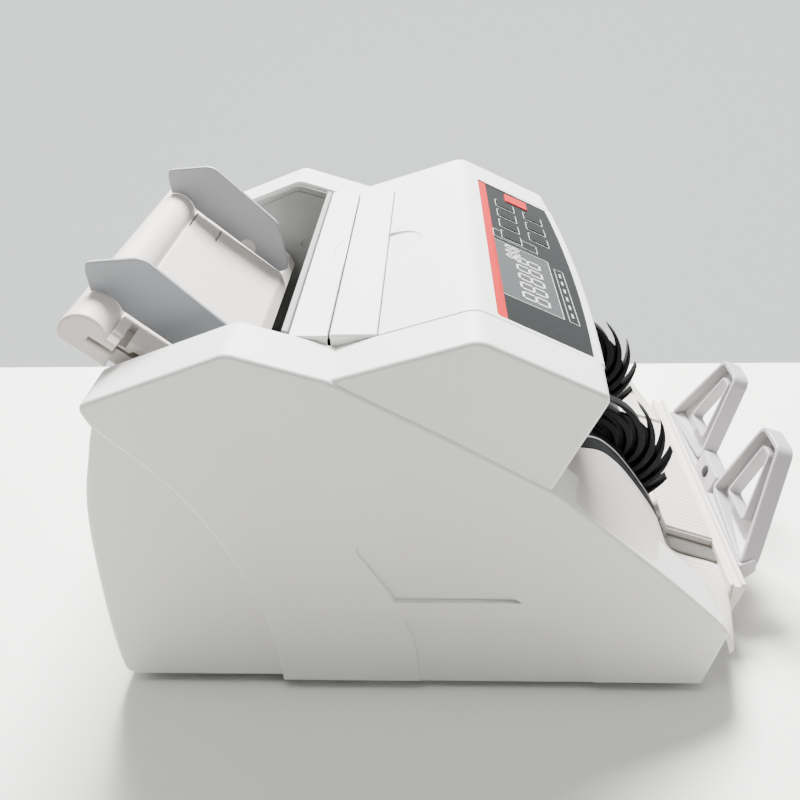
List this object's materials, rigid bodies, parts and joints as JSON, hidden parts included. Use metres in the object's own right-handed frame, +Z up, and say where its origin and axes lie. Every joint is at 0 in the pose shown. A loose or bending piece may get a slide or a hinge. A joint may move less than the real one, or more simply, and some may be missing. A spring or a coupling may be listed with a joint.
{
  "type": "banknote counting machine",
  "caption": "Desktop banknote counter: sloping rear hopper with sliding note guides, control slope on its head, and a front stacker with paddle wheels and a leaning stop.",
  "frame": {"origin": "centre of the bounding box, on the surface that the feet rest on", "axes": "+Z up, -Y is the front where counted notes are taken, +X is the machine's right seen from behind, on the start key's side"},
  "size_m": [0.245, 0.332, 0.202],
  "materials": {
    "shell": "fine moulded texture, warm white",
    "liner": "dark grey",
    "guide": "blue grey moulding",
    "stop": "light grey moulding",
    "black_plastic": "black moulding",
    "panel": "printed film, charcoal with a red band",
    "start_key": "red printed key",
    "key": "charcoal key with a light outline",
    "display": "smoked window",
    "foot_rubber": "moulded rubber",
    "roller_rubber": "ribbed friction rubber",
    "black_rubber": "moulded rubber",
    "steel": "ground steel",
    "white_plastic": "acetal",
    "board": "solder mask"
  },
  "bodies": {
    "case": {"base_pan": "liner", "control_board": "board", "control_panel": "panel", "display_board": "board", "display_glass": "display", "feed_belt": "black_rubber", "flap_hinge_pin": "steel", "foot_1": "foot_rubber", "foot_2": "foot_rubber", "foot_3": "foot_rubber", "foot_4": "foot_rubber", "head_cover": "shell", "hopper_front_wall": "liner", "hopper_tray": "shell", "impeller_guard": "black_plastic", "left_frame_plate": "liner", "left_side_cover": "shell", "main_motor": "steel", "pickup_belt": "black_rubber", "power_inlet": "black_plastic", "power_supply": "steel", "rear_bridge_cover": "shell", "rear_cover": "shell", "right_frame_plate": "liner", "right_side_cover": "shell", "sensor_board": "board", "stacker_bed": "shell", "stacker_belt": "black_rubber", "stacker_stop": "stop", "stop_screw": "black_plastic", "transport_belt": "black_rubber"},
    "left_guide": {"left_note_guide": "guide"},
    "right_guide": {"right_note_guide": "guide"},
    "flap": {"service_flap": "shell"},
    "switch_rocker": {"power_switch": "black_plastic"},
    "start_button": {"start_key": "start_key"},
    "button_1": {"key_1": "key"},
    "button_2": {"key_2": "key"},
    "button_3": {"key_3": "key"},
    "button_4": {"key_4": "key"},
    "button_5": {"key_5": "key"},
    "button_6": {"key_6": "key"},
    "button_7": {"key_7": "key"},
    "pickup": {"pickup_shaft": "steel", "left_pickup_roller": "roller_rubber", "right_pickup_roller": "roller_rubber"},
    "feed": {"feed_shaft": "steel", "left_feed_roller": "roller_rubber", "right_feed_roller": "roller_rubber"},
    "retard": {"retard_shaft": "steel", "retard_roller": "black_rubber"},
    "transport": {"transport_shaft": "steel", "left_transport_roller": "black_rubber", "right_transport_roller": "black_rubber"},
    "pinch": {"pinch_roller": "white_plastic"},
    "stacker_wheels": {"impeller_shaft": "steel", "left_impeller": "black_plastic", "right_impeller": "black_plastic", "stacker_pulley": "white_plastic"},
    "motor_rotor": {"motor_pulley": "white_plastic"}
  },
  "joints": [
    {"name": "left_guide_slide", "type": "slide", "parent": "case", "child": "left_guide", "axis": [1, 0, 0], "range_m": [-0.011, 0.04]},
    {"name": "right_guide_slide", "type": "slide", "parent": "case", "child": "right_guide", "axis": [1, 0, 0], "range_m": [-0.035, 0.027]},
    {"name": "flap_hinge", "type": "hinge", "parent": "case", "child": "flap", "pos_m": [0, 0.05319, 0.1744], "axis": [-1, 0, 0], "range_deg": [0, 95]},
    {"name": "switch_rock", "type": "hinge", "parent": "case", "child": "switch_rocker", "pos_m": [-0.042, 0.15599, 0.0355], "axis": [-1, 0, 0], "range_deg": [0, 14]},
    {"name": "start_press", "type": "slide", "parent": "case", "child": "start_button", "axis": [0, 0.4316, -0.902], "range_m": [0, 0.0004], "stiffness_N_per_m": 400, "springref_m": -0.0004},
    {"name": "key_1_press", "type": "slide", "parent": "case", "child": "button_1", "axis": [0, 0.4316, -0.902], "range_m": [0, 0.0004], "stiffness_N_per_m": 400, "springref_m": -0.0004},
    {"name": "key_2_press", "type": "slide", "parent": "case", "child": "button_2", "axis": [0, 0.4316, -0.902], "range_m": [0, 0.0004], "stiffness_N_per_m": 400, "springref_m": -0.0004},
    {"name": "key_3_press", "type": "slide", "parent": "case", "child": "button_3", "axis": [0, 0.4316, -0.902], "range_m": [0, 0.0004], "stiffness_N_per_m": 400, "springref_m": -0.0004},
    {"name": "key_4_press", "type": "slide", "parent": "case", "child": "button_4", "axis": [0, 0.4316, -0.902], "range_m": [0, 0.0004], "stiffness_N_per_m": 400, "springref_m": -0.0004},
    {"name": "key_5_press", "type": "slide", "parent": "case", "child": "button_5", "axis": [0, 0.4316, -0.902], "range_m": [0, 0.0004], "stiffness_N_per_m": 400, "springref_m": -0.0004},
    {"name": "key_6_press", "type": "slide", "parent": "case", "child": "button_6", "axis": [0, 0.4316, -0.902], "range_m": [0, 0.0004], "stiffness_N_per_m": 400, "springref_m": -0.0004},
    {"name": "key_7_press", "type": "slide", "parent": "case", "child": "button_7", "axis": [0, 0.4316, -0.902], "range_m": [0, 0.0004], "stiffness_N_per_m": 400, "springref_m": -0.0004},
    {"name": "transport_spin", "type": "hinge", "parent": "case", "child": "transport", "pos_m": [0, -0.007, 0.103], "axis": [1, 0, 0], "continuous": true},
    {"name": "pickup_spin", "type": "hinge", "parent": "case", "child": "pickup", "pos_m": [0, 0.085, 0.109], "axis": [1, 0, 0], "continuous": true},
    {"name": "feed_spin", "type": "hinge", "parent": "case", "child": "feed", "pos_m": [0, 0.05699, 0.105], "axis": [1, 0, 0], "continuous": true},
    {"name": "retard_spin", "type": "hinge", "parent": "case", "child": "retard", "pos_m": [0, 0.0564, 0.1312], "axis": [1, 0, 0], "continuous": true},
    {"name": "pinch_spin", "type": "hinge", "parent": "case", "child": "pinch", "pos_m": [0, -0.007, 0.1274], "axis": [1, 0, 0], "continuous": true},
    {"name": "stacker_spin", "type": "hinge", "parent": "case", "child": "stacker_wheels", "pos_m": [0, -0.069, 0.079], "axis": [1, 0, 0], "continuous": true},
    {"name": "motor_spin", "type": "hinge", "parent": "case", "child": "motor_rotor", "pos_m": [0, 0.00299, 0.051], "axis": [1, 0, 0], "continuous": true}
  ],
  "couplings": [
    {"joint": "feed_spin", "follows": "transport_spin", "ratio": 1},
    {"joint": "pickup_spin", "follows": "transport_spin", "ratio": 1},
    {"joint": "motor_spin", "follows": "transport_spin", "ratio": 1},
    {"joint": "stacker_spin", "follows": "transport_spin", "ratio": 0.5},
    {"joint": "retard_spin", "follows": "transport_spin", "ratio": -1.15},
    {"joint": "pinch_spin", "follows": "transport_spin", "ratio": -1}
  ]
}
